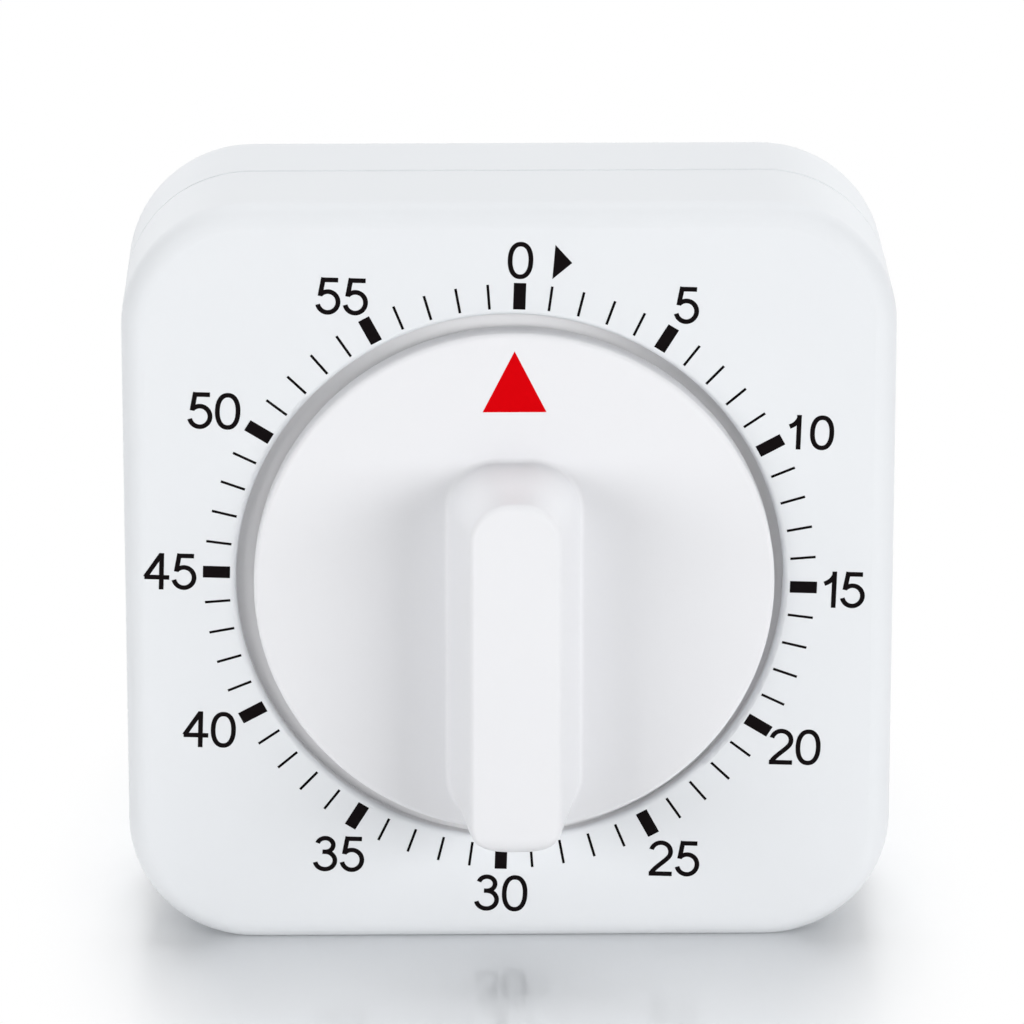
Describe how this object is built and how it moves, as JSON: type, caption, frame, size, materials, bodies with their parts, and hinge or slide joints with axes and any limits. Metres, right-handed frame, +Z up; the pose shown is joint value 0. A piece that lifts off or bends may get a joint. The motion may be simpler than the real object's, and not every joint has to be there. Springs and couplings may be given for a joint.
{
  "type": "mechanical kitchen timer",
  "caption": "Square white wind-up kitchen timer with a round bar-grip dial, a printed minute scale, and a spring-driven wheel train that strikes a bell inside the case.",
  "frame": {"origin": "on the flat base, under the middle of the case's width and depth", "axes": "+Z up, +Y from the dial to the back, +X to the right as seen from the front"},
  "size_m": [0.068, 0.0393, 0.068],
  "materials": {
    "case_plastic": "smooth satin-gloss white moulded plastic",
    "dial_plastic": "smooth satin-gloss white moulded plastic",
    "plate_steel": "rolled and stamped zinc-plated steel sheet",
    "wheel_brass": "stamped brass, lightly brushed",
    "arbor_steel": "turned bright steel",
    "lever_steel": "stamped steel",
    "spring_steel": "blued spring steel strip",
    "screw_zinc": "zinc-plated steel",
    "bell_nickel": "nickel-plated spun steel",
    "magnet_ferrite": "dark grey sintered ferrite"
  },
  "bodies": {
    "case": {"front_housing": "case_plastic", "rear_cover": "case_plastic", "case_screws": "screw_zinc", "magnets": "magnet_ferrite", "movement_screws": "screw_zinc", "front_plate": "plate_steel", "rear_plate": "plate_steel", "pillars": "arbor_steel", "pillar_nuts": "screw_zinc", "front_bush": "wheel_brass", "rear_bush": "wheel_brass", "spring_post": "arbor_steel", "mainspring": "spring_steel", "bell": "bell_nickel", "bell_post": "arbor_steel", "bell_nut": "screw_zinc", "hammer_spring": "spring_steel"},
    "dial": {"dial_knob": "dial_plastic", "main_arbor": "arbor_steel", "great_wheel": "wheel_brass", "clutch_spring": "spring_steel", "wheel_collar": "wheel_brass", "lifting_cam": "lever_steel"},
    "second": {"second_arbor": "arbor_steel", "second_wheel": "wheel_brass"},
    "third": {"third_arbor": "arbor_steel", "third_wheel": "wheel_brass"},
    "escape": {"escape_arbor": "arbor_steel", "escape_wheel": "wheel_brass"},
    "pallet": {"pallet_arbor": "arbor_steel", "pallet_lever": "lever_steel", "balance": "wheel_brass"},
    "hammer": {"hammer_arbor": "arbor_steel", "hammer_tail": "lever_steel", "hammer_arm": "lever_steel", "hammer_head": "wheel_brass"}
  },
  "joints": [
    {"name": "dial_turn", "type": "hinge", "parent": "case", "child": "dial", "pos_m": [0, 0, 0.034], "axis": [0, 1, 0], "range_deg": [0, 354], "deforming": ["mainspring"]},
    {"name": "second_turn", "type": "hinge", "parent": "case", "child": "second", "pos_m": [0.00639, 0, 0.04601], "axis": [0, 1, 0], "range_deg": [-2660, 0]},
    {"name": "third_turn", "type": "hinge", "parent": "case", "child": "third", "pos_m": [0.01574, 0, 0.04387], "axis": [0, 1, 0], "range_deg": [0, 18600]},
    {"name": "escape_turn", "type": "hinge", "parent": "case", "child": "escape", "pos_m": [0.01752, 0, 0.03566], "axis": [0, 1, 0], "range_deg": [-111600, 0]},
    {"name": "pallet_rock", "type": "hinge", "parent": "case", "child": "pallet", "pos_m": [0.01739, 0, 0.02937], "axis": [0, 1, 0], "range_deg": [-4, 4]},
    {"name": "hammer_swing", "type": "hinge", "parent": "case", "child": "hammer", "pos_m": [-0.01687, 0, 0.03607], "axis": [0, 1, 0], "range_deg": [0, 12], "stiffness_Nm_per_rad": 0.003, "springref_deg": -5.73, "deforming": ["hammer_spring"]}
  ],
  "couplings": [
    {"joint": "second_turn", "follows": "dial_turn", "ratio": -7.5},
    {"joint": "third_turn", "follows": "dial_turn", "ratio": 52.5},
    {"joint": "escape_turn", "follows": "dial_turn", "ratio": -315}
  ]
}
